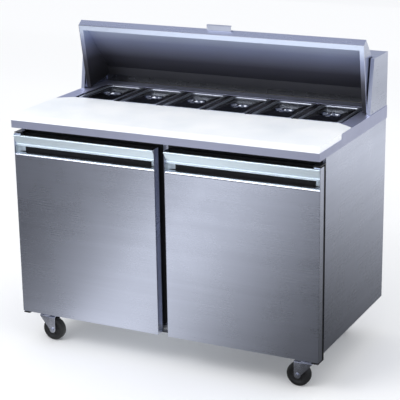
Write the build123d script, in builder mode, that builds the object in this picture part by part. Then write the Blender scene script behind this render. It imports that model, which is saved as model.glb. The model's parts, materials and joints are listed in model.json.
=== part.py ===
"""Two-door refrigerated sandwich preparation table, in millimetres.

X runs across the table, Y runs from the front to the back and Z is up. The origin is on
the floor, in the middle of the table. The lid is open and everything else is closed.
"""
import math
import os

from build123d import *

os.makedirs("parts", exist_ok=True)

# Overall sizes
WIDTH = 1226.0
DEPTH = 684.0
SHEET = 1.5  # steel sheet
GAP = 0.4  # joint between neighbouring sheet panels

# Heights above the floor
CABINET_BOTTOM = 144.0
CABINET_TOP = 884.0  # top of the walls, under the worktop
SKIRT_BOTTOM = 858.0
SHELF_TOP = 886.0  # low shelf that carries the cutting board
DECK_TOP = 905.0  # raised rear deck
HOOD_TOP = 1110.0

# Distances back from the front edge of the worktop
STEP_Y = 209.0  # where the side skirt steps up
BOARD_BACK = 346.0
DECK_FRONT = 347.0
WELL_Y = (353.0, 620.0)
FRAME_Y = (64.0, 66.0)  # face frame behind the doors
MACHINE_Y = 563.0  # bulkhead of the rear machine compartment
BACK_Y = DEPTH - 3.5  # inner face of the rear panels

# Half widths
SKIN_X = 611.0
INNER_X = 609.0  # between the side skins
BAY_X = 566.0  # between the blocks of side insulation
WELL_X = 556.0
CHEEK_X = (597.0, 611.0)

# Cold compartment
LINER_X = 565.0
LINER_Y = (74.0, 540.0)
LINER_Z = (190.0, 718.0)
SHELF_Z = 440.0

# Doors
DOOR_X = (20.0, 612.0)
DOOR_Y = (10.0, 54.0)
DOOR_Z = (126.0, 832.0)
DOOR_LEDGE = 750.0  # top of the flat panel, under the pull
DOOR_SIDE = 43.6  # how far back the steel wraps round the door's sides
HINGE_X = 598.0
HINGE_Y = 24.0
HINGE_PIN = 4.95
HINGE_BORE = 5.0

# Food pans
PAN_COUNT = 6
PAN_PITCH = 185.0
PAN_SIZE = (162.0, 262.0)
PAN_DEPTH = 146.0
LEDGE_Z = 896.0  # the ledge in the well on which the pans rest

# Lid, drawn as if shut about its pivot and then tipped back by the opening angle
PIVOT_Y = 520.0
PIVOT_Z = 915.0
LID_OPEN = 80.0
LID_X = 593.0
LID_WALL = 18.0
LID_FRONT = (-257.0, -6.0)
LID_NOSE = (-270.0, 19.0)
LID_KNEE = (-33.0, 164.0)
LID_BACK = (4.0, 157.0)
LID_PIN = 5.0

# Casters
CASTERS = {"front": (545.0, 75.0), "rear": (495.0, 600.0)}  # swivel axes: half width, y
CASTER_TOP = 118.0
TRAIL = 31.0
WHEEL_R = 45.0
WHEEL_WIDTH = 30.0
AXLE_R = 4.0
KINGPIN_R = 5.0
RUNNING = 0.05  # radial clearance of every turning fit


def row_y(back):
    """The Y coordinate of a distance back from the worktop's front edge."""
    return back - DEPTH / 2


def block(x, y, z, mode=Mode.ADD):
    """A box between its limits on each axis, with y counted back from the front edge."""
    centre = (sum(x) / 2, row_y(sum(y) / 2), sum(z) / 2)
    with Locations(centre):
        Box(x[1] - x[0], y[1] - y[0], z[1] - z[0], mode=mode)


def side(hand, near, far):
    """Two distances from the centre line as X limits on one side of the table."""
    return tuple(sorted((hand * near, hand * far)))


def facing(back):
    """An upright plane that faces the front, at a distance back from the front edge."""
    return Plane.XZ.offset(-row_y(back))


def save(builder, name):
    """Label a finished piece and write it."""
    builder.part.label = name
    export_step(builder.part, f"parts/{name}.step")


HANDS = {"left": -1, "right": 1}


# ---------------------------------------------------------------- cabinet shell
FLANGE = 10.0

with BuildPart() as side_skins:
    for hand in HANDS.values():
        block(side(hand, SKIN_X - SHEET, SKIN_X), (FRAME_Y[1], BACK_Y), (CABINET_BOTTOM, CABINET_TOP))
        block(
            side(hand, SKIN_X - FLANGE, SKIN_X - SHEET),
            (FRAME_Y[1], FRAME_Y[1] + SHEET),
            (CABINET_BOTTOM, CABINET_TOP),
        )
save(side_skins, "side_skins")

RAIL_X = 582.0
RAIL_WALL = 2.0
RAIL_Y = ((66.0, 108.0), (572.0, 628.0))  # channels that stiffen the base over the casters
FLOOR_FRONT = 68.0
PAD_Y = (50.0, 66.0)  # lip of the front rail, which carries the front of the caster plates
PAD_THICK = 3.0

with BuildPart() as base_pan:
    block((-INNER_X, INNER_X), (FLOOR_FRONT, BACK_Y), (CABINET_BOTTOM, CABINET_BOTTOM + SHEET))
    for rail_y in RAIL_Y:
        block((-RAIL_X, RAIL_X), rail_y, (CASTER_TOP, CABINET_BOTTOM))
        block(
            (-RAIL_X - 1, RAIL_X + 1),
            (rail_y[0] + RAIL_WALL, rail_y[1] - RAIL_WALL),
            (CASTER_TOP + RAIL_WALL, CABINET_BOTTOM - RAIL_WALL),
            mode=Mode.SUBTRACT,
        )
    block((-RAIL_X, RAIL_X), PAD_Y, (CASTER_TOP, CASTER_TOP + PAD_THICK))
save(base_pan, "base_pan")

MACHINE_TOP = 430.0  # ceiling of the rear machine compartment
GRILLE_BOTTOM = 146.0

with BuildPart() as back_skin:
    block((-INNER_X, INNER_X), (BACK_Y, BACK_Y + SHEET), (MACHINE_TOP + GAP, CABINET_TOP))
    block((-INNER_X, INNER_X), (MACHINE_Y, BACK_Y - GAP), (MACHINE_TOP, MACHINE_TOP + SHEET))
    block((-BAY_X, BAY_X), (MACHINE_Y, MACHINE_Y + SHEET), (GRILLE_BOTTOM, MACHINE_TOP - GAP))
save(back_skin, "back_skin")

LOUVRE_BANKS = 3
BANK_PITCH = 330.0
LOUVRE_ROWS = 11
LOUVRE_PITCH = 20.0
LOUVRE_LENGTH = 240.0
LOUVRE_SLOT = 7.0

with BuildPart() as rear_grille:
    with BuildSketch(facing(BACK_Y + SHEET)):
        with Locations((0, (GRILLE_BOTTOM + MACHINE_TOP) / 2)):
            Rectangle(2 * INNER_X, MACHINE_TOP - GRILLE_BOTTOM)
            with GridLocations(BANK_PITCH, LOUVRE_PITCH, LOUVRE_BANKS, LOUVRE_ROWS):
                SlotOverall(LOUVRE_LENGTH, LOUVRE_SLOT, mode=Mode.SUBTRACT)
    extrude(amount=SHEET)
save(rear_grille, "rear_grille")

FRAME_OPENING_X = (10.0, 600.0)
FRAME_OPENING_Z = (150.0, 850.0)
FRAME_CORNER = 12.0

with BuildPart() as face_frame:
    with BuildSketch(facing(FRAME_Y[1])):
        with Locations((0, (CABINET_BOTTOM + CABINET_TOP) / 2)):
            Rectangle(2 * SKIN_X, CABINET_TOP - CABINET_BOTTOM)
        for hand in HANDS.values():
            with Locations((hand * sum(FRAME_OPENING_X) / 2, sum(FRAME_OPENING_Z) / 2)):
                RectangleRounded(
                    FRAME_OPENING_X[1] - FRAME_OPENING_X[0],
                    FRAME_OPENING_Z[1] - FRAME_OPENING_Z[0],
                    FRAME_CORNER,
                    mode=Mode.SUBTRACT,
                )
    extrude(amount=FRAME_Y[1] - FRAME_Y[0])
save(face_frame, "face_frame")

MOUTH_X = (45.0, LINER_X)
BREAKER_DEPTH = 9.5

with BuildPart() as breaker_frames:
    with BuildSketch(facing(FRAME_Y[0] + BREAKER_DEPTH)):
        for hand in HANDS.values():
            with Locations((hand * sum(FRAME_OPENING_X) / 2, sum(FRAME_OPENING_Z) / 2)):
                RectangleRounded(
                    FRAME_OPENING_X[1] - FRAME_OPENING_X[0] - 2 * GAP,
                    FRAME_OPENING_Z[1] - FRAME_OPENING_Z[0] - 2 * GAP,
                    FRAME_CORNER - GAP,
                )
            with Locations((hand * sum(MOUTH_X) / 2, sum(LINER_Z) / 2)):
                RectangleRounded(
                    MOUTH_X[1] - MOUTH_X[0],
                    LINER_Z[1] - LINER_Z[0],
                    FRAME_CORNER,
                    mode=Mode.SUBTRACT,
                )
    extrude(amount=BREAKER_DEPTH)
save(breaker_frames, "breaker_frames")

with BuildPart() as inner_liner:
    for hand in HANDS.values():
        block(side(hand, LINER_X, LINER_X + SHEET), LINER_Y, LINER_Z)
    wide = (-LINER_X + GAP, LINER_X - GAP)
    block((-LINER_X - SHEET, LINER_X + SHEET), LINER_Y, (LINER_Z[0] - SHEET - GAP, LINER_Z[0] - GAP))
    block((-LINER_X - SHEET, LINER_X + SHEET), LINER_Y, (LINER_Z[1] + GAP, LINER_Z[1] + SHEET + GAP))
    block(wide, (LINER_Y[1] - SHEET, LINER_Y[1]), LINER_Z)
save(inner_liner, "inner_liner")

FOAM_EASE = 2.0  # left round the foam for the sheets beside it
FOAM_Y = (LINER_Y[0] + FOAM_EASE, MACHINE_Y - FOAM_EASE)
FOAM_Z = (CABINET_BOTTOM + 6, CABINET_TOP - 1)
WELL_FLOOR = 742.0
roof = LINER_Z[1] + SHEET + 2 * GAP

with BuildPart() as insulation:
    for hand in HANDS.values():
        block(side(hand, BAY_X + 1, INNER_X), FOAM_Y, FOAM_Z)
    block((-BAY_X, BAY_X), FOAM_Y, (FOAM_Z[0], LINER_Z[0] - SHEET - 2 * GAP))
    block((-BAY_X, BAY_X), (LINER_Y[1] + GAP, FOAM_Y[1]), LINER_Z)
    block((-BAY_X, BAY_X), (FOAM_Y[0], DECK_FRONT - FOAM_EASE), (roof, FOAM_Z[1]))
    under_well = WELL_X - 2 * FOAM_EASE
    block((-under_well, under_well), (DECK_FRONT - 1, FOAM_Y[1]), (roof, WELL_FLOOR - FOAM_EASE))
save(insulation, "insulation")


# ---------------------------------------------------------------- worktop and well
DECK_CORNER = (552.0, 305.0)  # where the deck's front edge turns towards its side
STEP_RADIUS = 6.0
WELL_CORNER = 20.0

with BuildPart() as worktop:
    deck_outline = [
        (WIDTH / 2, row_y(DEPTH)),
        (WIDTH / 2, row_y(DECK_CORNER[1])),
        (DECK_CORNER[0], row_y(DECK_FRONT)),
        (-DECK_CORNER[0], row_y(DECK_FRONT)),
        (-WIDTH / 2, row_y(DECK_CORNER[1])),
        (-WIDTH / 2, row_y(DEPTH)),
    ]
    with BuildSketch(Plane.XY.offset(SHELF_TOP - SHEET)):
        Polygon(*deck_outline, align=None)
    extrude(amount=DECK_TOP - SHELF_TOP + SHEET)
    with BuildSketch(Plane.XY.offset(SHELF_TOP - SHEET)):
        Polygon(*deck_outline, align=None)
        offset(amount=-SHEET, kind=Kind.INTERSECTION, mode=Mode.REPLACE)
    extrude(amount=DECK_TOP - SHELF_TOP, mode=Mode.SUBTRACT)
    block((-WIDTH / 2, WIDTH / 2), (0, DECK_FRONT + SHEET), (SHELF_TOP - SHEET, SHELF_TOP))
    block((-WIDTH / 2, WIDTH / 2), (0, SHEET), (SKIRT_BOTTOM, SHELF_TOP))
    block((-WIDTH / 2, WIDTH / 2), (DEPTH - SHEET, DEPTH), (SKIRT_BOTTOM, SHELF_TOP))
    for hand in HANDS.values():
        edge = side(hand, WIDTH / 2 - SHEET, WIDTH / 2)
        block(edge, (0, DEPTH), (SKIRT_BOTTOM, SHELF_TOP))
        block(edge, (STEP_Y, DEPTH), (SHELF_TOP - SHEET, DECK_TOP))
    with BuildSketch(Plane.XY.offset(DECK_TOP)):
        with Locations((0, row_y(sum(WELL_Y) / 2))):
            RectangleRounded(2 * WELL_X, WELL_Y[1] - WELL_Y[0], WELL_CORNER)
    extrude(amount=-2 * SHEET, mode=Mode.SUBTRACT)
    step_edges = worktop.edges().filter_by(Axis.X).group_by(Axis.Z)[-1]
    fillet([e for e in step_edges if abs(e.center().Y - row_y(STEP_Y)) < 1], STEP_RADIUS)
save(worktop, "worktop")

WELL_SHEET = 1.2
WELL_LIP = 12.4
SLIP = 0.6  # clearance round the liner and the bars

with BuildPart() as well_liner:
    outer_x = WELL_X - SLIP
    outer_y = (WELL_Y[0] + SLIP, WELL_Y[1] - SLIP)
    ledge_y = (outer_y[0] + WELL_SHEET, outer_y[1] - WELL_SHEET)
    inner_x = outer_x - WELL_SHEET - WELL_LIP
    inner_y = (ledge_y[0] + WELL_LIP, ledge_y[1] - WELL_LIP)
    block((-outer_x, outer_x), outer_y, (LEDGE_Z - WELL_SHEET, DECK_TOP - SHEET - GAP))
    fillet(well_liner.edges().filter_by(Axis.Z), WELL_CORNER - 1)
    block(
        (-inner_x - WELL_SHEET, inner_x + WELL_SHEET),
        (inner_y[0] - WELL_SHEET, inner_y[1] + WELL_SHEET),
        (WELL_FLOOR, LEDGE_Z - WELL_SHEET),
    )
    with BuildSketch(Plane.XY.offset(LEDGE_Z)):
        with Locations((0, row_y(sum(ledge_y) / 2))):
            RectangleRounded(2 * (outer_x - WELL_SHEET), ledge_y[1] - ledge_y[0], WELL_CORNER - 2)
    extrude(amount=DECK_TOP - LEDGE_Z, mode=Mode.SUBTRACT)
    block(
        (-inner_x, inner_x), inner_y, (WELL_FLOOR + WELL_SHEET, DECK_TOP), mode=Mode.SUBTRACT
    )
save(well_liner, "well_liner")

pan_middle = row_y(sum(ledge_y) / 2)
pan_centres = [(n - (PAN_COUNT - 1) / 2) * PAN_PITCH for n in range(PAN_COUNT)]
BAR_WEB = 20.0
BAR_FOOT = 43.0
BAR_SHEET = 3.0

with BuildPart() as pan_bars:
    for x in pan_centres[:-1]:
        middle = x + PAN_PITCH / 2
        block(
            (middle - BAR_FOOT / 2, middle + BAR_FOOT / 2),
            (inner_y[0] + SLIP, inner_y[1] - SLIP),
            (LEDGE_Z - BAR_SHEET, LEDGE_Z),
        )
        block(
            (middle - BAR_WEB / 2, middle + BAR_WEB / 2),
            (ledge_y[0] + SLIP, ledge_y[1] - SLIP),
            (LEDGE_Z, DECK_TOP - 1),
        )
save(pan_bars, "pan_bars")

PAN_SHEET = 1.2
PAN_FLANGE = (11.0, 13.0)
PAN_TAPER = 4.0
PAN_CORNER = 16.0
TUB_CORNER = 24.0
tub = (PAN_SIZE[0] - 2 * PAN_FLANGE[0], PAN_SIZE[1] - 2 * PAN_FLANGE[1])
FLANGE_TOP = LEDGE_Z + PAN_SHEET

COVER_TOP = 905.0
COVER_FLOOR = 900.0
COVER_BEAD = 6.0
COVER_CORNER = 15.0
COVER_ROUND = 2.0
DISH = (84.0, 46.0)
DISH_CORNER = 17.0
DISH_DEPTH = 12.0
STRAP_WIDTH = 14.0
STRAP_REACH = 8.0  # how far the strap runs on past the dish at each end
STRAP_ARCH = 3.0
cover_size = (PAN_SIZE[0] - 2, PAN_SIZE[1] - 2)

for number, x in enumerate(pan_centres, start=1):
    with BuildPart() as pan:
        with BuildSketch(Plane.XY.offset(LEDGE_Z)):
            with Locations((x, pan_middle)):
                RectangleRounded(*PAN_SIZE, PAN_CORNER)
        extrude(amount=PAN_SHEET)
        with BuildSketch(Plane.XY.offset(FLANGE_TOP)):
            with Locations((x, pan_middle)):
                RectangleRounded(*tub, TUB_CORNER)
        extrude(amount=-PAN_DEPTH, taper=PAN_TAPER)
        with BuildSketch(Plane.XY.offset(FLANGE_TOP)):
            with Locations((x, pan_middle)):
                RectangleRounded(
                    tub[0] - 2 * PAN_SHEET, tub[1] - 2 * PAN_SHEET, TUB_CORNER - PAN_SHEET
                )
        extrude(amount=-PAN_DEPTH + PAN_SHEET, taper=PAN_TAPER, mode=Mode.SUBTRACT)
    save(pan, f"pan_{number}")

    with BuildPart() as cover:
        with BuildSketch(Plane.XY.offset(FLANGE_TOP)):
            with Locations((x, pan_middle)):
                RectangleRounded(*cover_size, COVER_CORNER)
        extrude(amount=COVER_TOP - FLANGE_TOP)
        top_edges = cover.faces().sort_by(Axis.Z)[-1].edges()
        fillet(top_edges, COVER_ROUND)
        with BuildSketch(Plane.XY.offset(COVER_FLOOR)):
            with Locations((x, pan_middle)):
                RectangleRounded(
                    cover_size[0] - 2 * COVER_BEAD, cover_size[1] - 2 * COVER_BEAD, COVER_CORNER - 4
                )
        extrude(amount=COVER_TOP - COVER_FLOOR, mode=Mode.SUBTRACT)
        with BuildSketch(Plane.XY.offset(FLANGE_TOP)):
            with Locations((x, pan_middle)):
                RectangleRounded(
                    DISH[0] + 2 * PAN_SHEET, DISH[1] + 2 * PAN_SHEET, DISH_CORNER + 1
                )
        extrude(amount=COVER_FLOOR - DISH_DEPTH - PAN_SHEET - FLANGE_TOP)
        with BuildSketch(Plane.XY.offset(COVER_FLOOR)):
            with Locations((x, pan_middle)):
                RectangleRounded(*DISH, DISH_CORNER)
        extrude(amount=-DISH_DEPTH, mode=Mode.SUBTRACT)
        with BuildSketch(Plane.XY.offset(COVER_FLOOR)):
            with Locations((x, pan_middle)):
                RectangleRounded(STRAP_WIDTH, DISH[1] + 2 * STRAP_REACH, 4)
        extrude(amount=COVER_TOP - COVER_FLOOR)
        with Locations((x, pan_middle, COVER_FLOOR + STRAP_ARCH / 2)):
            Box(STRAP_WIDTH + 1, DISH[1], STRAP_ARCH, mode=Mode.SUBTRACT)
    save(cover, f"cover_{number}")

BOARD_GAP = 0.5
BOARD_THICK = 21.0
BOARD_ROUND = 9.0
NOTCH = (5.0, 7.0)

with BuildPart() as cutting_board:
    with BuildSketch(Plane.XY.offset(SHELF_TOP)):
        half = WIDTH / 2 - SHEET - BOARD_GAP
        slant = DECK_CORNER[0] - 1
        Polygon(
            (half, row_y(BOARD_GAP)),
            (half, row_y(DECK_CORNER[1] - 1)),
            (slant, row_y(BOARD_BACK)),
            (-slant, row_y(BOARD_BACK)),
            (-half, row_y(DECK_CORNER[1] - 1)),
            (-half, row_y(BOARD_GAP)),
            align=None,
        )
        for x in pan_centres[:-1]:
            with Locations((x + PAN_PITCH / 2, row_y(BOARD_BACK))):
                SlotCenterToCenter(NOTCH[1], NOTCH[0], rotation=90, mode=Mode.SUBTRACT)
    extrude(amount=BOARD_THICK)
    front = cutting_board.edges().filter_by(Axis.X).group_by(Axis.Y)[0]
    fillet(front.sort_by(Axis.Z)[-1], BOARD_ROUND)
save(cutting_board, "cutting_board")


# ---------------------------------------------------------------- hood
CHEEK_FOOT = 500.0
CHEEK_HEAD = 533.0
HOOD_MOUTH = 564.0
HOOD_BACK = DEPTH - 0.5

with BuildPart() as hood_cheeks:
    for hand in HANDS.values():
        low = min(hand * CHEEK_X[0], hand * CHEEK_X[1])
        with BuildSketch(Plane.YZ.offset(low)):
            Polygon(
                (row_y(CHEEK_FOOT), DECK_TOP),
                (row_y(HOOD_BACK), DECK_TOP),
                (row_y(HOOD_BACK), HOOD_TOP),
                (row_y(CHEEK_HEAD), HOOD_TOP),
                align=None,
            )
            with Locations((row_y(PIVOT_Y), PIVOT_Z)):
                Circle(LID_PIN + RUNNING, mode=Mode.SUBTRACT)
        extrude(amount=CHEEK_X[1] - CHEEK_X[0])
save(hood_cheeks, "hood_cheeks")

with BuildPart() as hood_shell:
    block(
        (-CHEEK_X[0], CHEEK_X[0]), (HOOD_BACK - SHEET, HOOD_BACK), (DECK_TOP, HOOD_TOP - SHEET)
    )
    block((-CHEEK_X[0], CHEEK_X[0]), (HOOD_MOUTH, HOOD_BACK), (HOOD_TOP - SHEET, HOOD_TOP))
save(hood_shell, "hood_shell")


# ---------------------------------------------------------------- lid
tip = math.radians(LID_OPEN)


def lid_plane(x):
    """A plane across the lid, whose local axes are the shut lid's back and up."""
    return Plane(
        origin=(x, row_y(PIVOT_Y), PIVOT_Z),
        x_dir=(0, math.cos(tip), -math.sin(tip)),
        z_dir=(1, 0, 0),
    )


def inward(start, end):
    """The unit normal that points into the lid from one stretch of its outline."""
    along = (Vector(*end) - Vector(*start)).normalized()
    return Vector(along.Y, -along.X)


def lid_outline(inset, low, back):
    """The lid's wedge section drawn in by inset, cut off at a low line and a back line."""
    front_in = inward(LID_FRONT, LID_NOSE)
    top_in = inward(LID_NOSE, LID_KNEE)
    rear_in = inward(LID_KNEE, LID_BACK)
    nose = Vector(*LID_NOSE) + (front_in + top_in) * (inset / (1 + front_in.dot(top_in)))
    knee = Vector(*LID_KNEE) + (top_in + rear_in) * (inset / (1 + top_in.dot(rear_in)))
    front_slope = (LID_NOSE[0] - LID_FRONT[0]) / (LID_NOSE[1] - LID_FRONT[1])
    rear_slope = (LID_BACK[1] - LID_KNEE[1]) / (LID_BACK[0] - LID_KNEE[0])
    return [
        (nose.X + front_slope * (low - nose.Y), low),
        (nose.X, nose.Y),
        (knee.X, knee.Y),
        (back, knee.Y + rear_slope * (back - knee.X)),
        (back, low),
    ]


def lid_wedge(half, inset, low, back, mode=Mode.ADD):
    """The wedge across the lid, as wide as twice half."""
    with BuildSketch(lid_plane(-half)) as section:
        Polygon(*lid_outline(inset, low, back), align=None)
    extrude(section.sketch, amount=2 * half, mode=mode)


RIM = LID_FRONT[1]
TAIL = LID_BACK[0]
BEYOND = 40.0
SKIN = SHEET
INSIDE = LID_WALL - SHEET

with BuildPart() as lid_shell:
    lid_wedge(LID_X, 0, RIM, TAIL)
    lid_wedge(LID_X - SKIN, SKIN, RIM - BEYOND, TAIL + BEYOND, mode=Mode.SUBTRACT)
save(lid_shell, "lid_shell")

with BuildPart() as lid_core:
    lid_wedge(LID_X - SKIN, SKIN, RIM + SKIN, TAIL - SKIN)
    lid_wedge(LID_X - INSIDE, INSIDE, RIM - BEYOND, TAIL + BEYOND, mode=Mode.SUBTRACT)
save(lid_core, "lid_core")

with BuildPart() as lid_liner:
    lid_wedge(LID_X - SKIN, SKIN, RIM, TAIL)
    lid_wedge(LID_X - SKIN, SKIN, RIM + SKIN, TAIL - SKIN, mode=Mode.SUBTRACT)
    lid_wedge(LID_X - INSIDE, INSIDE, RIM, TAIL)
    lid_wedge(LID_X - LID_WALL, LID_WALL, RIM - BEYOND, TAIL + BEYOND, mode=Mode.SUBTRACT)
save(lid_liner, "lid_liner")

PIN_COLLAR = (7.0, 3.0)  # radius and thickness

with BuildPart() as lid_pins:
    for hand in HANDS.values():
        with BuildSketch(lid_plane(hand * LID_X)):
            Circle(LID_PIN)
        extrude(amount=hand * (CHEEK_X[1] - 1 - LID_X))
        with BuildSketch(lid_plane(hand * LID_X)):
            Circle(PIN_COLLAR[0])
        extrude(amount=hand * PIN_COLLAR[1])
save(lid_pins, "lid_pins")

PULL_X = 12.0
PULL_WIDTH = 100.0
PULL_TIP = (-287.0, 22.0)  # front and top of the upturned grip
PULL_SHEET = 2.5
PULL_DROP = 6.5  # from the lid's nose down to the grip's flat

with BuildPart() as lid_handle:
    with BuildSketch(lid_plane(PULL_X - PULL_WIDTH / 2)):
        foot = LID_NOSE[1] - PULL_DROP
        front_slope = (LID_NOSE[0] - LID_FRONT[0]) / (LID_NOSE[1] - LID_FRONT[1])
        wall = LID_NOSE[0] + front_slope * (foot - LID_NOSE[1]) - GAP / 2
        Polygon(
            (wall, foot),
            (wall + front_slope * PULL_SHEET, foot + PULL_SHEET),
            (PULL_TIP[0] + PULL_SHEET, foot + PULL_SHEET),
            (PULL_TIP[0] + PULL_SHEET, PULL_TIP[1]),
            (PULL_TIP[0], PULL_TIP[1]),
            (PULL_TIP[0], foot),
            align=None,
        )
    extrude(amount=PULL_WIDTH)
save(lid_handle, "lid_handle")


# ---------------------------------------------------------------- doors
PULL_SECTION = [(16, 827), (1, 830), (24, 786), (33, 783)]  # lip, sloping face, return
PULL_THICKNESS = 2.0
RECESS_BACK = (44.0, 46.0)
LEDGE_BACK = 33.0  # where the ledge under the pull meets the recess
LINER_FACE = 52.0
RAISED_X = (60.0, 550.0)  # raised panel of the door's liner
RAISED_Z = (210.0, 700.0)
RAISED_Y = 59.0
HINGE_BLOCK = 12.0  # half width of the solid block round each hinge pin
CORE_BACK = 51.6
GASKET_Z = (136.0, 826.0)
GASKET_BACK = 63.3
GASKET_WIDTH = 16.0
BEHIND = 60.0  # a cut that runs out past the back of the steel

for name, hand in HANDS.items():
    full = side(hand, *DOOR_X)
    inner = side(hand, DOOR_X[0] + SHEET, DOOR_X[1] - SHEET)
    hinge = (hand * HINGE_X, row_y(HINGE_Y))

    with BuildPart() as door_skin:
        block(full, (DOOR_Y[0], DOOR_SIDE), DOOR_Z)
        fillet(door_skin.edges().filter_by(Axis.Z).group_by(Axis.Y)[0], 1)
        panel_z = (DOOR_Z[0] + SHEET, DOOR_LEDGE - SHEET)
        ledge_z = (DOOR_LEDGE - 2 * SHEET, DOOR_LEDGE + SHEET)
        block(inner, (DOOR_Y[0] + SHEET, BEHIND), panel_z, mode=Mode.SUBTRACT)
        block(inner, (0, BEHIND), (DOOR_LEDGE, DOOR_Z[1] + 1), mode=Mode.SUBTRACT)
        block(inner, (LEDGE_BACK, BEHIND), ledge_z, mode=Mode.SUBTRACT)
        knuckle = side(hand, HINGE_X - HINGE_BLOCK, DOOR_X[1] - SHEET)
        block(knuckle, (HINGE_Y - 7, HINGE_Y + 16), (DOOR_Z[1] - 16, DOOR_Z[1]))
        block(knuckle, (HINGE_Y - 12, HINGE_Y + 12), (DOOR_Z[0] + SHEET, DOOR_Z[0] + 18))
        with Locations((*hinge, sum(DOOR_Z) / 2)):
            Cylinder(HINGE_BORE, DOOR_Z[1] - DOOR_Z[0] + 20, mode=Mode.SUBTRACT)
    save(door_skin, f"door_skin_{name}")

    with BuildPart() as door_core:
        block(
            side(hand, DOOR_X[0] + SHEET + GAP, DOOR_X[1] - SHEET - GAP),
            (DOOR_Y[0] + SHEET + GAP, CORE_BACK),
            (DOOR_Z[0] + SHEET + GAP, DOOR_LEDGE - SHEET - GAP),
        )
        block(
            side(hand, HINGE_X - HINGE_BLOCK - 1, DOOR_X[1]),
            (0, HINGE_Y + 13),
            (DOOR_Z[0] - 6, DOOR_Z[0] + 19),
            mode=Mode.SUBTRACT,
        )
        block(
            side(hand, DOOR_X[0] + SHEET + GAP, DOOR_X[1] - SHEET - GAP),
            (RECESS_BACK[1] + GAP, CORE_BACK),
            (DOOR_LEDGE - SHEET - GAP, DOOR_Z[1] - 4),
        )
    save(door_core, f"door_core_{name}")

    with BuildPart() as door_liner:
        block(full, (RECESS_BACK[0], DOOR_Y[1]), DOOR_Z)
        fillet(door_liner.edges().filter_by(Axis.Z).group_by(Axis.Y)[-1], 3)
        block(
            inner,
            (RECESS_BACK[0], LINER_FACE),
            (DOOR_Z[0] + SHEET, DOOR_Z[1] - SHEET),
            mode=Mode.SUBTRACT,
        )
        block(side(hand, *RAISED_X), (LINER_FACE + 1, RAISED_Y), RAISED_Z)
        raised = door_liner.faces().sort_by(Axis.Y)[-1].edges()
        chamfer(raised, 3)
    save(door_liner, f"door_liner_{name}")

    with BuildPart() as door_recess:
        block(inner, RECESS_BACK, (DOOR_LEDGE, DOOR_Z[1] - SHEET - GAP))
        block(inner, (LEDGE_BACK + GAP, RECESS_BACK[0]), (DOOR_LEDGE - SHEET, DOOR_LEDGE))
    save(door_recess, f"door_recess_{name}")

    with BuildPart() as door_pull:
        with BuildSketch(Plane.YZ.offset(min(inner) + 0.2)):
            with BuildLine():
                Polyline(*[(row_y(y), z) for y, z in PULL_SECTION])
                offset(amount=PULL_THICKNESS, side=Side.LEFT, kind=Kind.INTERSECTION)
            make_face()
        extrude(amount=inner[1] - inner[0] - 0.4)
    save(door_pull, f"door_pull_{name}")

    with BuildPart() as door_gasket:
        ring = side(hand, DOOR_X[0] + 6, HINGE_X)
        block(ring, (DOOR_Y[1], GASKET_BACK), GASKET_Z)
        hole = side(hand, DOOR_X[0] + 6 + GASKET_WIDTH, HINGE_X - GASKET_WIDTH)
        hole_z = (GASKET_Z[0] + GASKET_WIDTH, GASKET_Z[1] - GASKET_WIDTH)
        block(hole, (DOOR_Y[1] - 1, GASKET_BACK + 2), hole_z, mode=Mode.SUBTRACT)
        rim = door_gasket.faces().sort_by(Axis.Y)[-1].edges()
        fillet(rim, 3)
    save(door_gasket, f"door_gasket_{name}")

BRACKET = 3.0
BRACKET_FRONT = 12.0
LEG_Y = (58.5, FRAME_Y[0])
lower_z = (DOOR_Z[0] - 4 - BRACKET, DOOR_Z[0] - 4)
upper_z = (DOOR_Z[1] + 4, DOOR_Z[1] + 4 + BRACKET)
hinge_stations = (  # heights of the plate, of the leg fixed to the frame, and of the pin
    (lower_z, (lower_z[0], 158), (lower_z[0], 141)),
    (upper_z, (812, upper_z[1]), (818, upper_z[1])),
)

with BuildPart() as hinges:
    for hand in HANDS.values():
        plate = side(hand, HINGE_X - 14, SKIN_X)
        leg = side(hand, HINGE_X + 3, SKIN_X)
        for plate_z, leg_z, pin_z in hinge_stations:
            block(plate, (BRACKET_FRONT, FRAME_Y[0]), plate_z)
            block(leg, LEG_Y, leg_z)
            with Locations((hand * HINGE_X, row_y(HINGE_Y), sum(pin_z) / 2)):
                Cylinder(HINGE_PIN, pin_z[1] - pin_z[0])
save(hinges, "hinges")


# ---------------------------------------------------------------- shelves
WIRE_R = 2.0
SHELF_FRAME_R = 3.0
SHELF_Y = (95.0, 515.0)
SHELF_X = (20.0, 545.0)
WIRES = 13
WIRE_END = 4.0  # how far the wires run past the end rods


def rod(start, end, radius):
    """A straight round wire between two points."""
    line = Vector(*end) - Vector(*start)
    with BuildSketch(Plane(origin=start, z_dir=line)) as section:
        Circle(radius)
    extrude(section.sketch, amount=line.length)


with BuildPart() as shelves:
    for hand in HANDS.values():
        x0, x1 = side(hand, *SHELF_X)
        y0, y1 = row_y(SHELF_Y[0]), row_y(SHELF_Y[1])
        rise = SHELF_Z + SHELF_FRAME_R + WIRE_R - 1
        for y in (y0, (y0 + y1) / 2, y1):
            rod((x0, y, SHELF_Z), (x1, y, SHELF_Z), SHELF_FRAME_R)
        for wire in range(WIRES):
            x = x0 + WIRE_R + (x1 - x0 - 2 * WIRE_R) * wire / (WIRES - 1)
            rod((x, y0 - WIRE_END, rise), (x, y1 + WIRE_END, rise), WIRE_R)
save(shelves, "shelves")

POST_Y = (115.0, 495.0)
POST_HALF = 8.0
POST_Z = (220.0, 690.0)
MIDDLE_TOP = 600.0  # top of the two posts in the middle, below the evaporator
CLIP_HALF = 6.0
CLIP_REACH = 30.0
clip_z = (SHELF_Z - SHELF_FRAME_R - 4, SHELF_Z - SHELF_FRAME_R)

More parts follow.
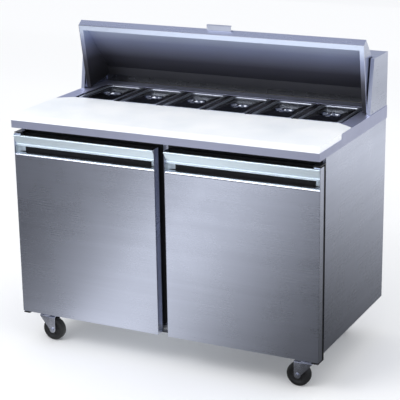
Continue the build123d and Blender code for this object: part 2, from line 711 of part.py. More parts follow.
with BuildPart() as shelf_rails:
    for y in POST_Y:
        post_y = (y - POST_HALF, y + POST_HALF)
        clip_y = (y - CLIP_HALF, y + CLIP_HALF)
        for hand in HANDS.values():
            block(side(hand, LINER_X - POST_HALF, LINER_X - GAP), post_y, POST_Z)
            block(side(hand, SHELF_X[1] - 12, LINER_X - POST_HALF), clip_y, clip_z)
        block((-POST_HALF, POST_HALF), post_y, (LINER_Z[0], MIDDLE_TOP))
        block((-CLIP_REACH, CLIP_REACH), clip_y, clip_z)
save(shelf_rails, "shelf_rails")


# ---------------------------------------------------------------- refrigeration
FIN = 1.2
TUBE_R = 5.0
TUBE_END = 12.0  # how far the tubes run past the last fins
SHAFT_R = 3.0
HUB_R = 16.0
BLADE_TURN = 24.0


def finned_coil(x, y, z, fins, tubes):
    """A coil: upright fins across a bank of level tubes, between two end plates."""
    step = (x[1] - x[0] - FIN) / (fins - 1)
    for n in range(fins):
        block((x[0] + n * step, x[0] + n * step + FIN), y, z)
    pitch = (z[1] - z[0]) / tubes
    for n in range(tubes):
        centre = z[0] + (n + 0.5) * pitch
        middle = row_y(sum(y) / 2)
        rod((x[0] - TUBE_END, middle, centre), (x[1] + TUBE_END, middle, centre), TUBE_R)


def fan_motor(x, z, y, radius, shaft):
    """A motor with its shaft towards one end of its Y limits."""
    with Locations(Plane(origin=(x, row_y(sum(y) / 2), z), z_dir=(0, 1, 0))):
        Cylinder(radius, y[1] - y[0])
    with Locations(Plane(origin=(x, row_y(sum(shaft) / 2), z), z_dir=(0, 1, 0))):
        Cylinder(SHAFT_R, shaft[1] - shaft[0])


def fan_blades(x, z, y, radius):
    """A four-bladed fan on a bored hub."""
    turn = Plane(origin=(x, row_y(sum(y) / 2), z), z_dir=(0, 1, 0))
    with Locations(turn):
        Cylinder(HUB_R, y[1] - y[0])
        with PolarLocations(radius / 2 + 6, 4):
            Box(radius - 12, radius * 0.55, 2, rotation=(BLADE_TURN, 0, 0))
    with Locations(turn):
        Cylinder(SHAFT_R + RUNNING, 60, mode=Mode.SUBTRACT)


EVAPORATOR_X = 216.0  # half width of the coil's housing
EVAPORATOR_Y = (455.0, 536.0)
EVAPORATOR_ROOF = 712.0
EVAPORATOR_FAN_Z = 668.0

with BuildPart() as evaporator:
    finned_coil((-200, 200), (462, 530), (632, 704), fins=17, tubes=3)
    block((-EVAPORATOR_X, EVAPORATOR_X), EVAPORATOR_Y, (EVAPORATOR_ROOF, LINER_Z[1]))
    for hand in HANDS.values():
        block(side(hand, EVAPORATOR_X - 2, EVAPORATOR_X), EVAPORATOR_Y, (620, EVAPORATOR_ROOF))
    block((-30, 30), (EVAPORATOR_Y[0], EVAPORATOR_Y[0] + 2), (640, EVAPORATOR_ROOF))
    fan_motor(0, EVAPORATOR_FAN_Z, (436, EVAPORATOR_Y[0]), 20, (412, 440))
save(evaporator, "evaporator")

with BuildPart() as evaporator_fan:
    fan_blades(0, EVAPORATOR_FAN_Z, (416, 430), 44)
save(evaporator_fan, "evaporator_fan")

COMPRESSOR_X = -260.0
COMPRESSOR_Y = 622.0
POT_R = 50.0
POT_HEIGHT = 130.0
COMPRESSOR_BASE = (130.0, 90.0, 10.0)
TERMINAL_BOX = (30.0, 50.0, 60.0)
foot = CABINET_BOTTOM + SHEET

with BuildPart() as compressor:
    centre = row_y(COMPRESSOR_Y)
    with Locations((COMPRESSOR_X, centre, foot + COMPRESSOR_BASE[2] / 2)):
        Box(*COMPRESSOR_BASE)
    with Locations((COMPRESSOR_X, centre, foot + COMPRESSOR_BASE[2] + POT_HEIGHT / 2)):
        Cylinder(POT_R, POT_HEIGHT)
    fillet(compressor.faces().sort_by(Axis.Z)[-1].edges(), 24)
    with Locations((COMPRESSOR_X + POT_R + TERMINAL_BOX[0] / 2, centre, foot + TERMINAL_BOX[2])):
        Box(*TERMINAL_BOX)
save(compressor, "compressor")

CONDENSER_X = (90.0, 330.0)
CONDENSER_Y = (572.0, 600.0)
FAN_POST_X = (190.0, 230.0)
condenser_fan_at = (sum(FAN_POST_X) / 2, 278)

with BuildPart() as condenser:
    finned_coil(CONDENSER_X, CONDENSER_Y, (156, 400), fins=15, tubes=8)
    base_x = (CONDENSER_X[0] - 2, CONDENSER_X[1] + 2)
    block(base_x, (CONDENSER_Y[0] - 2, CONDENSER_Y[1] + 2), (foot, foot + 8))
    block(FAN_POST_X, (CONDENSER_Y[1] + 2, CONDENSER_Y[1] + 4), (foot, 300))
    block(FAN_POST_X, (CONDENSER_Y[1], CONDENSER_Y[1] + 40), (foot, foot + 3))
    fan_motor(*condenser_fan_at, (604, 628), 26, (628, 652))
save(condenser, "condenser")

with BuildPart() as condenser_fan:
    fan_blades(*condenser_fan_at, (636, 650), 96)
save(condenser_fan, "condenser_fan")


# ---------------------------------------------------------------- casters
PLATE = (68.0, 48.0, 4.0)
CROWN_Z = (100.0, CASTER_TOP - PLATE[2] - 0.6)
CROWN_R = 26.0
FORK_Y = (16.8, 19.8)
LEG_HALF = 13.0
FORK_SHOULDER = 94.0  # height of the fork's back corner
FORK_HEAD = 100.0
BRIDGE_THICK = 3.8
BOSS_Z = 94.0  # lower end of the kingpin
BOSS = (8.0, 3.0)  # radius and thickness
DISHED = (30.0, 5.0)  # radius and thickness of the cut that dishes each face of the wheel
HUB = (11.0, WHEEL_WIDTH + 2)

corners = {
    f"{end}_{name}": (hand * x, row_y(y), hand)
    for end, (x, y) in CASTERS.items()
    for name, hand in HANDS.items()
}

with BuildPart() as caster_plates:
    for x, y, _ in corners.values():
        with Locations((x, y, CASTER_TOP - PLATE[2] / 2)):
            Box(*PLATE)
        with Locations((x, y, (BOSS_Z + CASTER_TOP) / 2)):
            Cylinder(KINGPIN_R, CASTER_TOP - BOSS_Z)
        with Locations((x, y, BOSS_Z + 0.5)):
            Cylinder(*BOSS)
save(caster_plates, "caster_plates")

for corner, (x, y, hand) in corners.items():
    wheel_x = x - hand * TRAIL
    with BuildPart() as fork:
        with Locations((x, y, sum(CROWN_Z) / 2)):
            Cylinder(CROWN_R, CROWN_Z[1] - CROWN_Z[0])
        bridge = sorted((wheel_x - hand * LEG_HALF, x + hand * CROWN_R))
        with Locations((sum(bridge) / 2, y, FORK_HEAD - 1.5)):
            Box(bridge[1] - bridge[0], 2 * FORK_Y[1], BRIDGE_THICK)
        for facing_y in (-1, 1):
            low = min(facing_y * FORK_Y[0], facing_y * FORK_Y[1])
            with BuildSketch(Plane.XZ.offset(-y - low)):
                with BuildLine():
                    Polyline(
                        (wheel_x - hand * LEG_HALF, FORK_HEAD),
                        (wheel_x - hand * LEG_HALF, WHEEL_R),
                        (wheel_x + hand * LEG_HALF, WHEEL_R),
                        (x + hand * CROWN_R, FORK_SHOULDER),
                        (x + hand * CROWN_R, FORK_HEAD),
                        close=True,
                    )
                make_face()
                with Locations((wheel_x, WHEEL_R)):
                    Circle(LEG_HALF)
            extrude(amount=-(FORK_Y[1] - FORK_Y[0]))
        with Locations(Plane(origin=(wheel_x, y, WHEEL_R), z_dir=(0, 1, 0))):
            Cylinder(AXLE_R, 2 * FORK_Y[1] + 5)
        with Locations((x, y, FORK_HEAD)):
            Cylinder(KINGPIN_R + RUNNING, 40, mode=Mode.SUBTRACT)
    save(fork, f"caster_fork_{corner}")

    with BuildPart() as wheel:
        turn = Plane(origin=(wheel_x, y, WHEEL_R), z_dir=(0, 1, 0))
        with Locations(turn):
            Cylinder(WHEEL_R, WHEEL_WIDTH)
        fillet(wheel.edges().filter_by(GeomType.CIRCLE), 5)
        for face_y in (-1, 1):
            with Locations(turn.offset(face_y * (WHEEL_WIDTH / 2 - 2))):
                Cylinder(*DISHED, mode=Mode.SUBTRACT)
        with Locations(turn):
            Cylinder(*HUB)
            Cylinder(AXLE_R + RUNNING, 60, mode=Mode.SUBTRACT)
    save(wheel, f"caster_wheel_{corner}")
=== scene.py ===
import json
import math

import bmesh
import bpy
from mathutils import Euler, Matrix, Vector


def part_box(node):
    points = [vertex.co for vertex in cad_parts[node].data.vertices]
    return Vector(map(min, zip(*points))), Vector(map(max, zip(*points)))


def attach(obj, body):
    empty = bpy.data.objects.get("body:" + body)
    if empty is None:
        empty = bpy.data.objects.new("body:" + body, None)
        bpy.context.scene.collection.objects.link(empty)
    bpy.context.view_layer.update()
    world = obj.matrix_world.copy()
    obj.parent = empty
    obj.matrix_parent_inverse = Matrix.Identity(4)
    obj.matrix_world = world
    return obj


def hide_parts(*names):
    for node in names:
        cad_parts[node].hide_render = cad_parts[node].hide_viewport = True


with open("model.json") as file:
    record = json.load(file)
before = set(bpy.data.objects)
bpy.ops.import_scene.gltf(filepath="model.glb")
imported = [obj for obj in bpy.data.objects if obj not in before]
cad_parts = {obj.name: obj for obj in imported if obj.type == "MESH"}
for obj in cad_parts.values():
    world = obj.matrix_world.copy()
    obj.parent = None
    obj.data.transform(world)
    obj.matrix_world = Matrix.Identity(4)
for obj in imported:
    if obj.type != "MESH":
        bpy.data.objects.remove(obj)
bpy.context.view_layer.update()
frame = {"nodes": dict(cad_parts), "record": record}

MM = 0.001
NODES = frame["nodes"]
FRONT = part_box("worktop")[0].y
SIDES = ("left", "right")


# ------------------------------------------------------------------ camera
camera_data = bpy.data.cameras.new("camera")
camera_data.lens = 122.4
camera_data.sensor_width = 36
camera = bpy.data.objects.new("camera", camera_data)
camera.location = (2.211, FRONT - 4.078, 2.067)
camera.rotation_euler = Euler([math.radians(a) for a in (72.99, 0.85, 26.38)])
bpy.context.scene.collection.objects.link(camera)
bpy.context.scene.camera = camera


# ------------------------------------------------------------------ materials
class Nodes:
    """A material's node tree, with short names for what is used again and again."""

    def __init__(self, name):
        self.material = bpy.data.materials.new(name)
        self.material.use_nodes = True
        self.tree = self.material.node_tree
        self.shader = self.tree.nodes["Principled BSDF"]

    def add(self, kind, **settings):
        node = self.tree.nodes.new(kind)
        for key, value in settings.items():
            setattr(node, key, value)
        return node

    def link(self, source, target):
        self.tree.links.new(source, target)

    def place(self, scale):
        """Object coordinates, stretched by a scale on each axis."""
        coords = self.add("ShaderNodeTexCoord")
        mapping = self.add("ShaderNodeMapping")
        mapping.inputs["Scale"].default_value = scale
        self.link(coords.outputs["Object"], mapping.inputs["Vector"])
        return mapping.outputs["Vector"]

    def noise(self, scale, detail=3.0, rough=0.5, stretch=(1, 1, 1)):
        node = self.add("ShaderNodeTexNoise")
        node.inputs["Scale"].default_value = scale
        node.inputs["Detail"].default_value = detail
        node.inputs["Roughness"].default_value = rough
        self.link(self.place(stretch), node.inputs["Vector"])
        return node.outputs["Fac"]

    def ramp(self, source, stops):
        """A colour ramp with (position, colour) stops."""
        node = self.add("ShaderNodeValToRGB")
        elements = node.color_ramp.elements
        while len(elements) < len(stops):
            elements.new(0.5)
        for element, (position, colour) in zip(elements, stops):
            element.position = position
            element.color = (*colour, 1)
        self.link(source, node.inputs["Fac"])
        return node.outputs["Color"]

    def scaled(self, source, low, high, start=0.0, stop=1.0):
        """A value spread from one range to another."""
        node = self.add("ShaderNodeMapRange")
        node.inputs["From Min"].default_value = start
        node.inputs["From Max"].default_value = stop
        node.inputs["To Min"].default_value = low
        node.inputs["To Max"].default_value = high
        self.link(source, node.inputs["Value"])
        return node.outputs["Result"]

    def math(self, operation, a, b):
        node = self.add("ShaderNodeMath", operation=operation)
        for socket, value in zip(node.inputs, (a, b)):
            if isinstance(value, (int, float)):
                socket.default_value = value
            else:
                self.link(value, socket)
        return node.outputs["Value"]

    def curve(self, source, points):
        """A value read off straight lines between points."""
        node = self.add("ShaderNodeFloatCurve")
        low, high = points[0][0], points[-1][0]
        curve = node.mapping.curves[0]
        while len(curve.points) < len(points):
            curve.points.new(0.5, 0.5)
        for point, (place, value) in zip(curve.points, points):
            point.location = ((place - low) / (high - low), value)
        node.mapping.extend = "HORIZONTAL"
        node.mapping.update()
        self.link(self.scaled(source, 0.0, 1.0, low, high), node.inputs["Value"])
        return node.outputs["Value"]

    def bump(self, height, strength, distance):
        node = self.add("ShaderNodeBump")
        node.inputs["Strength"].default_value = strength
        node.inputs["Distance"].default_value = distance
        self.link(height, node.inputs["Height"])
        self.link(node.outputs["Normal"], self.shader.inputs["Normal"])

    def set(self, **values):
        names = {"color": "Base Color", "metallic": "Metallic", "roughness": "Roughness"}
        for key, value in values.items():
            socket = self.shader.inputs[names.get(key, key)]
            socket.default_value = (*value, 1) if isinstance(value, tuple) else value


def brushed_steel(name, colour, grain, rough=(0.24, 0.32), streak=0.07, metallic=1.0):
    """Stainless sheet whose grain runs along one axis: 0 for X, 1 for Y, 2 for Z."""
    n = Nodes(name)
    n.set(metallic=metallic)
    fine = [900.0, 900.0, 900.0]
    broad = [26.0, 26.0, 26.0]
    fine[grain] = 6.0
    broad[grain] = 0.8
    hair = n.noise(1.0, 2.0, 0.6, fine)
    streaks = n.noise(1.0, 3.0, 0.55, broad)
    smudge = n.noise(5.0, 4.0, 0.55)
    dark = tuple(c * (1 - streak) for c in colour)
    light = tuple(min(1.0, c * (1 + streak * 0.6)) for c in colour)
    mixed = n.math("ADD", n.math("MULTIPLY", streaks, 0.6), n.math("MULTIPLY", hair, 0.4))
    n.link(n.ramp(mixed, [(0.3, dark), (0.7, light)]), n.shader.inputs["Base Color"])
    wear = n.math("ADD", n.math("MULTIPLY", smudge, 0.7), n.math("MULTIPLY", hair, 0.3))
    n.link(n.scaled(wear, *rough, 0.3, 0.7), n.shader.inputs["Roughness"])
    n.bump(hair, 0.12, 0.0002)
    return n.material


def plastic(name, colour, rough, speckle=900.0, strength=0.15, spread=0.12):
    """Moulded plastic with a fine texture and slight unevenness of colour."""
    n = Nodes(name)
    cloud = n.noise(9.0, 3.0)
    dark = tuple(c * (1 - spread) for c in colour)
    light = tuple(min(1.0, c * (1 + spread)) for c in colour)
    n.link(n.ramp(cloud, [(0.3, dark), (0.7, light)]), n.shader.inputs["Base Color"])
    n.link(n.scaled(cloud, rough - 0.06, rough + 0.06, 0.3, 0.7), n.shader.inputs["Roughness"])
    n.bump(n.noise(speckle, 2.0), strength, 0.0003)
    return n.material


def board_plastic(name):
    """White polyethylene with fine knife marks that run mostly from front to back."""
    n = Nodes(name)
    cloud = n.noise(6.0, 3.0)
    cuts = n.noise(1.0, 2.0, 0.7, (420.0, 9.0, 420.0))
    marks = n.ramp(cuts, [(0.60, (0.0, 0.0, 0.0)), (0.72, (1.0, 1.0, 1.0))])
    n.link(
        n.ramp(cloud, [(0.3, (0.84, 0.88, 0.93)), (0.7, (0.92, 0.94, 0.97))]),
        n.shader.inputs["Base Color"],
    )
    n.link(n.scaled(cloud, 0.34, 0.48, 0.3, 0.7), n.shader.inputs["Roughness"])
    n.bump(marks, -0.12, 0.0003)
    n.shader.inputs["Subsurface Weight"].default_value = 0.08
    n.shader.inputs["Subsurface Radius"].default_value = (0.01, 0.01, 0.012)
    return n.material


def galvanised(name, colour):
    """Zinc-coated sheet with its patchwork of crystals."""
    n = Nodes(name)
    cells = n.add("ShaderNodeTexVoronoi")
    cells.inputs["Scale"].default_value = 45.0
    n.link(n.place((1, 1, 1)), cells.inputs["Vector"])
    shade = n.scaled(cells.outputs["Color"], 0.0, 1.0)
    dark = tuple(c * 0.82 for c in colour)
    n.link(n.ramp(shade, [(0.1, dark), (0.9, colour)]), n.shader.inputs["Base Color"])
    n.link(n.scaled(shade, 0.34, 0.52), n.shader.inputs["Roughness"])
    n.set(metallic=0.9)
    n.bump(n.noise(300.0, 2.0), 0.08, 0.0003)
    return n.material


def bright_metal(name, colour, rough, spread=0.05):
    """Plated or cast metal, lightly uneven."""
    n = Nodes(name)
    n.set(metallic=1.0)
    cloud = n.noise(60.0, 4.0)
    dark = tuple(c * 0.85 for c in colour)
    n.link(n.ramp(cloud, [(0.3, dark), (0.7, colour)]), n.shader.inputs["Base Color"])
    n.link(n.scaled(cloud, rough - spread, rough + spread, 0.3, 0.7), n.shader.inputs["Roughness"])
    n.bump(n.noise(500.0, 2.0), 0.06, 0.0002)
    return n.material


def enamel(name, colour, rough):
    """Sprayed paint with a slight orange peel."""
    n = Nodes(name)
    cloud = n.noise(14.0, 3.0)
    dark = tuple(c * 0.88 for c in colour)
    n.link(n.ramp(cloud, [(0.3, dark), (0.7, colour)]), n.shader.inputs["Base Color"])
    n.link(n.scaled(cloud, rough - 0.05, rough + 0.05, 0.3, 0.7), n.shader.inputs["Roughness"])
    n.bump(n.noise(260.0, 2.0), 0.10, 0.0004)
    return n.material


LINING_PAINTED_LIGHT = [  # share of the lid's height, and the lining's colour there: painted shade, near black towards the hinge, rising to a painted bluish reflection of light towards the front
    (0.10, (0.022, 0.022, 0.026)), (0.30, (0.050, 0.050, 0.060)), (0.44, (0.085, 0.085, 0.110)),
    (0.55, (0.190, 0.200, 0.270)), (0.75, (0.360, 0.400, 0.580)), (0.93, (0.740, 0.820, 1.0)),
]


def lid_lining():
    """The lid's satin lining, bright at the lid's front from a painted reflection of light, and dark
    towards its hinge from painted shade.
    """
    n = Nodes("lid_lining_steel")
    n.set(metallic=0.5)
    coords = n.add("ShaderNodeTexCoord")
    split = n.add("ShaderNodeSeparateXYZ")
    n.link(coords.outputs["Generated"], split.inputs["Vector"])
    hair = n.noise(1.0, 2.0, 0.6, [6.0, 700.0, 700.0])
    uneven = n.math("ADD", split.outputs["Z"], n.math("MULTIPLY", n.math("SUBTRACT", hair, 0.5), 0.06))
    n.link(n.ramp(uneven, LINING_PAINTED_LIGHT), n.shader.inputs["Base Color"])
    n.link(n.scaled(hair, 0.36, 0.46, 0.3, 0.7), n.shader.inputs["Roughness"])
    n.bump(hair, 0.10, 0.0002)
    return n.material


STEEL = (0.60, 0.63, 0.75)
steel_x = brushed_steel("steel_grain_across", STEEL, 0)
steel_y = brushed_steel("steel_grain_back", STEEL, 1)
worktop_steel = brushed_steel("worktop_satin", (0.62, 0.64, 0.80), 0, (0.44, 0.56), 0.05)
lining = lid_lining()
pan_steel = brushed_steel("pan_steel", (0.50, 0.51, 0.57), 1, (0.14, 0.24), 0.05)
# A darkened copy of the steel for the covers' sunk panels: painted shade, for the dark lid they reflect.
shaded_cover_steel = brushed_steel("shaded_cover_steel", (0.21, 0.22, 0.25), 0, (0.12, 0.20), 0.05)
strap_steel = brushed_steel("strap_steel", (0.72, 0.74, 0.80), 1, (0.16, 0.26), 0.05)
# A brightened copy of the steel for the covers' rolled edges: a painted highlight.
highlit_rim_steel = brushed_steel("cover_rim_steel", (0.80, 0.84, 0.90), 0, (0.30, 0.40), 0.04)
# The pull's lighter satin finish, also used as a painted highlight on the finger recess's curved cheeks.
pull_finish_and_painted_highlight = brushed_steel("pull_satin_and_painted_highlight", (0.80, 0.91, 1.0), 0, (0.38, 0.50), 0.04, metallic=0.7)
# A brightened copy of the steel for the door's rounded ledge: a painted highlight where the ledge catches
# light.
lip_painted_highlight_steel = brushed_steel("ledge_painted_highlight", (0.90, 0.93, 0.98), 0, (0.22, 0.30), 0.03)
liner_sheet = brushed_steel("liner_sheet", (0.74, 0.75, 0.78), 2, (0.30, 0.42), 0.05)
zinc = bright_metal("bright_zinc", (0.60, 0.62, 0.72), 0.26)
back_sheet = galvanised("galvanised_sheet", (0.62, 0.64, 0.68))
board = board_plastic("board_polyethylene")
# Black plastic for the fan, also used as painted shade in the posts' slots and the breaker frames round
# the door openings.
black = plastic("black_plastic", (0.006, 0.006, 0.008), 0.58)
rubber = plastic("black_rubber", (0.014, 0.014, 0.015), 0.62, 700.0, 0.25)
tyre_rubber = plastic("wheel_rubber", (0.011, 0.011, 0.012), 0.50, 500.0, 0.3)
foam = plastic("insulating_foam", (0.72, 0.62, 0.38), 0.85, 250.0, 0.6)
shelf_coat = enamel("shelf_epoxy", (0.80, 0.81, 0.83), 0.35)
copper = bright_metal("copper_pipe", (0.80, 0.45, 0.30), 0.30)
fin_metal = bright_metal("coil_fins", (0.72, 0.74, 0.76), 0.36)
# Black enamel for the compressor; the hinges and the sheet inside the hood also take it as painted shade.
black_paint_and_painted_shade = enamel("black_paint_and_painted_shade", (0.012, 0.012, 0.013), 0.28)

SLOT_MATERIALS = {
    "stainless": steel_x,
    "lid_lining": lining,
    "pan_steel": pan_steel,
    "cutting_board": board,
    # The breaker frames in this slot stand for the shade above and beside the doors: painted shade.
    "black_plastic": black,
    "gasket": rubber,
    "foam": foam,
    "liner": liner_sheet,
    "galvanised": back_sheet,
    "zinc": zinc,
    "caster_rubber": tyre_rubber,
    "shelf_wire": shelf_coat,
    "coil": fin_metal,
    "compressor_paint": black_paint_and_painted_shade,
    # The hinges take black paint so they sit as dark as the shade round them: painted shade.
    "hinge_black": black_paint_and_painted_shade,
    "fan_plastic": black,
}
OWN_MATERIALS = {"side_skins": steel_y, "hood_cheeks": steel_y, "worktop": worktop_steel}

for entry in frame["record"]["subparts"]:
    node = NODES[entry["node"]]
    by_slot = SLOT_MATERIALS[entry["material_slot"]]
    node.data.materials.clear()
    node.data.materials.append(OWN_MATERIALS.get(entry["node"], by_slot))


def soften(obj, width, angle=35):
    """Round the edges that are sharper than an angle."""
    bevel = obj.modifiers.new("edge", "BEVEL")
    bevel.width = width * MM
    bevel.segments = 2
    bevel.limit_method = "ANGLE"
    bevel.angle_limit = math.radians(angle)


BEVELS = {  # width of each node's rounded edges
    "worktop": 1.2, "cutting_board": 2.0, "hood_cheeks": 1.2, "hood_shell": 0.6,
    "lid_shell": 1.2, "lid_liner": 0.6, "lid_handle": 0.6, "face_frame": 0.5,
    "side_skins": 0.5, "door_skin_left": 0.6, "door_skin_right": 0.6,
    "pan_bars": 0.8, "base_pan": 0.5,
}
for name, width in BEVELS.items():
    soften(NODES[name], width)


# ------------------------------------------------------------------ mesh tools
def piece(name, vertices, faces, material, body, slot, replaces=(), sharp=38, solid=None):
    """A mesh in the shared frame, given in millimetres, that rides on a body."""
    mesh = bpy.data.meshes.new(name)
    mesh.from_pydata([Vector(v) * MM for v in vertices], [], faces)
    shape = bmesh.new()
    shape.from_mesh(mesh)
    bmesh.ops.remove_doubles(shape, verts=shape.verts, dist=1e-6)
    bmesh.ops.recalc_face_normals(shape, faces=shape.faces)
    shape.to_mesh(mesh)
    shape.free()
    mesh.shade_smooth()
    mesh.set_sharp_from_angle(angle=math.radians(sharp))
    mesh.materials.append(material)
    obj = bpy.data.objects.new(name, mesh)
    bpy.context.scene.collection.objects.link(obj)
    if solid:
        sheet = obj.modifiers.new("sheet", "SOLIDIFY")
        sheet.thickness = solid * MM
        sheet.offset = -1
    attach(obj, body)
    if replaces:
        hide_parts(*replaces)
    return obj


def rounded(width, depth, radius, steps=6):
    """The corners of a rounded rectangle about the origin, anticlockwise."""
    points = []
    for corner in range(4):
        start = corner * math.pi / 2
        side_x = (1, -1, -1, 1)[corner] * (width / 2 - radius)
        side_y = (1, 1, -1, -1)[corner] * (depth / 2 - radius)
        for step in range(steps + 1):
            angle = start + step / steps * math.pi / 2
            points.append((side_x + radius * math.cos(angle), side_y + radius * math.sin(angle)))
    return points


def join_rings(rings, wrap=False, cap_first=False, cap_last=False):
    """The vertices and faces of a surface through rings that have the same number of points."""
    count = len(rings[0])
    vertices = [point for ring in rings for point in ring]
    faces = []
    pairs = list(zip(range(len(rings) - 1), range(1, len(rings))))
    if wrap:
        pairs.append((len(rings) - 1, 0))
    for a, b in pairs:
        for i in range(count):
            j = (i + 1) % count
            faces.append((a * count + i, a * count + j, b * count + j, b * count + i))
    if cap_first:
        faces.append(tuple(range(count)))
    if cap_last:
        faces.append(tuple((len(rings) - 1) * count + i for i in range(count)))
    return vertices, faces


def turned(centre, axis, profile, segments=48, wrap=True):
    """A profile of (radius, height) pairs turned about an axis through a centre."""
    axis = Vector(axis).normalized()
    across = axis.orthogonal().normalized()
    other = axis.cross(across)
    rings = []
    for radius, height in profile:
        ring = []
        for n in range(segments):
            angle = 2 * math.pi * n / segments
            spoke = across * math.cos(angle) + other * math.sin(angle)
            ring.append(Vector(centre) + axis * height + spoke * radius)
        rings.append(ring)
    return join_rings(rings, wrap=wrap, cap_first=not wrap, cap_last=not wrap)


def combine(*parts):
    """Several (vertices, faces) lists as one."""
    vertices, faces = [], []
    for more_vertices, more_faces in parts:
        base = len(vertices)
        vertices += list(more_vertices)
        faces += [tuple(base + i for i in face) for face in more_faces]
    return vertices, faces


def bar(section, x0, x1):
    """A section of (y, z) points run along X, closed at both ends."""
    rings = [[(x, y, z) for y, z in section] for x in (x0, x1)]
    return join_rings(rings, cap_first=True, cap_last=True)


def limits(node):
    """The box of a CAD node as (low, high) corners in millimetres."""
    low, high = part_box(node)
    return Vector(low) / MM, Vector(high) / MM


def at_front(back):
    """The Y coordinate in millimetres of a distance back from the worktop's front edge."""
    return FRONT / MM + back


JOINTS = {joint["name"]: joint for joint in frame["record"]["behaviour"]["joints"]}


# ------------------------------------------------------------------ food pans and covers
def pressed(name, centre, rings, material, body, replaced, thickness, closed=True):
    """A pressed sheet through rounded rectangles: (width, depth, radius, height) each."""
    loops = []
    for width, depth, radius, height in rings:
        loops.append([(centre.x + x, centre.y + y, height) for x, y in rounded(width, depth, radius)])
    vertices, faces = join_rings(loops, cap_last=closed)
    piece(name, vertices, faces, material, body, "pan_steel", replaced, solid=thickness)


# A cover's rolled edge: inset from its outline, and height from its top
COVER_EDGE = [(0, -6), (0, -2.4), (0.7, -0.9), (2.2, -0.2), (4.5, 0), (7.5, -0.2), (9.8, -1.2)]
COVER_EDGE += [(11.4, -3.2), (12.8, -4.7), (15.0, -5.2), (19.0, -5.2)]
RIM_RINGS = 9  # the rings of a cover that make its rolled edge, bright from a painted highlight
# The finger dish: width, depth, corner radius, and height from the cover's top
DISH = [(98, 60, 29, -5.2), (94, 56, 27, -4.5), (89, 51, 25, -4.4), (85, 47, 23, -5.4)]
DISH += [(81, 43, 21, -8.5), (77, 39, 19, -12.5), (71, 33, 16, -15.6), (60, 22, 10, -16.6)]
STRAP = [(-31, -5.0, 8.0), (-27, -4.6, 8.0), (-23, -2.6, 7.2)]  # y, height and half width
STRAP += [(-17, -1.0, 6.2), (-9, -0.5, 5.4), (0, -0.4, 5.2)]
STRAP_SHEET = 0.9
COVER_SHEET = 0.8
COVER_CORNER = 15
TIGHTEN = 0.4  # how much a cover's corner radius shrinks for each millimetre of inset
LEAST_CORNER = 8  # and the least that it comes to


def cover(number):
    """A lid of one food pan: a rolled edge, a sunk panel, and a finger dish under a strap."""
    name = f"cover_{number}"
    low, high = limits(name)
    centre, top = (low + high) / 2, high.z
    width, depth = high.x - low.x, high.y - low.y
    rings = []
    for inset, z in COVER_EDGE:
        corner = max(COVER_CORNER - inset * TIGHTEN, LEAST_CORNER)
        rings.append((width - 2 * inset, depth - 2 * inset, corner, top + z))
    rings += [(w, d, r, top + z) for w, d, r, z in DISH]
    rim, panel = rings[:RIM_RINGS], rings[RIM_RINGS - 1:]
    # The rolled edge takes the brightened steel: a painted highlight.
    pressed(f"cover_rim_{number}", centre, rim, highlit_rim_steel, name, [], COVER_SHEET, closed=False)
    # The sunk panel takes the darkened steel: painted shade.
    pressed(f"pan_cover_{number}", centre, panel, shaded_cover_steel, name, [name], COVER_SHEET)
    arch = STRAP + [(-y, z, half) for y, z, half in reversed(STRAP[:-1])]
    rings = []
    for y, z, half in arch:
        section = [(-half, z), (-half * 0.6, z + 0.35), (half * 0.6, z + 0.35), (half, z)]
        section += [(half, z - STRAP_SHEET), (-half, z - STRAP_SHEET)]
        rings.append([(centre.x + x, centre.y + y, top + h) for x, h in section])
    vertices, faces = join_rings(rings, cap_first=True, cap_last=True)
    piece(f"cover_strap_{number}", vertices, faces, strap_steel, name, "pan_steel", sharp=60)


# A pan's rim: inset from its outline, and height from its top
PAN_EDGE = [(0, -1.0), (0.2, -0.3), (1.0, 0), (9.5, 0), (11.5, -0.7), (12.6, -2.2), (13.2, -5.0)]
PAN_SHOULDER = [(24, 14.4), (27, 16.2), (29, 16.6)]  # depth below the top, and inset
PAN_SLOPE = math.tan(math.radians(4))
PAN_WALL = 14  # inset of the sloping wall at the top
PAN_ROUND = 15  # radius of the bottom edge
PAN_SHEET = 0.9
PAN_CORNERS = (16, 14, 12)  # corner radii of the rim's edge, the walls and the bottom
PAN_TIGHTEN = 0.2  # how much the rim's corner radius shrinks for each millimetre of inset


def food_pan(number):
    """A deep drawn pan: a flat rim, a stacking shoulder, sloping walls and a round bottom edge."""
    node = f"pan_{number}"
    low, high = limits(node)
    centre, top = (low + high) / 2, high.z
    width, depth, tall = high.x - low.x, high.y - low.y, high.z - low.z
    rim_corner, wall_corner, base_corner = PAN_CORNERS
    rings = []
    for inset, z in PAN_EDGE:
        corner = max(rim_corner - inset * PAN_TIGHTEN, base_corner)
        rings.append((width - 2 * inset, depth - 2 * inset, corner, top + z))
    wall_end = tall - PAN_ROUND - 1
    for drop, inset in (*PAN_SHOULDER, (wall_end, PAN_WALL + wall_end * PAN_SLOPE)):
        rings.append((width - 2 * inset, depth - 2 * inset, wall_corner, top - drop))
    base = PAN_WALL + tall * PAN_SLOPE
    for turn in (30, 60, 90):
        angle = math.radians(turn)
        inset = base - 1 + PAN_ROUND * (1 - math.cos(angle))
        height = top - tall + 1 + PAN_ROUND * (1 - math.sin(angle))
        rings.append((width - 2 * inset, depth - 2 * inset, base_corner, height))
    pressed(f"food_pan_{number}", centre, rings, pan_steel, node, [node], PAN_SHEET)


for number in range(1, 7):
    cover(number)
    food_pan(number)


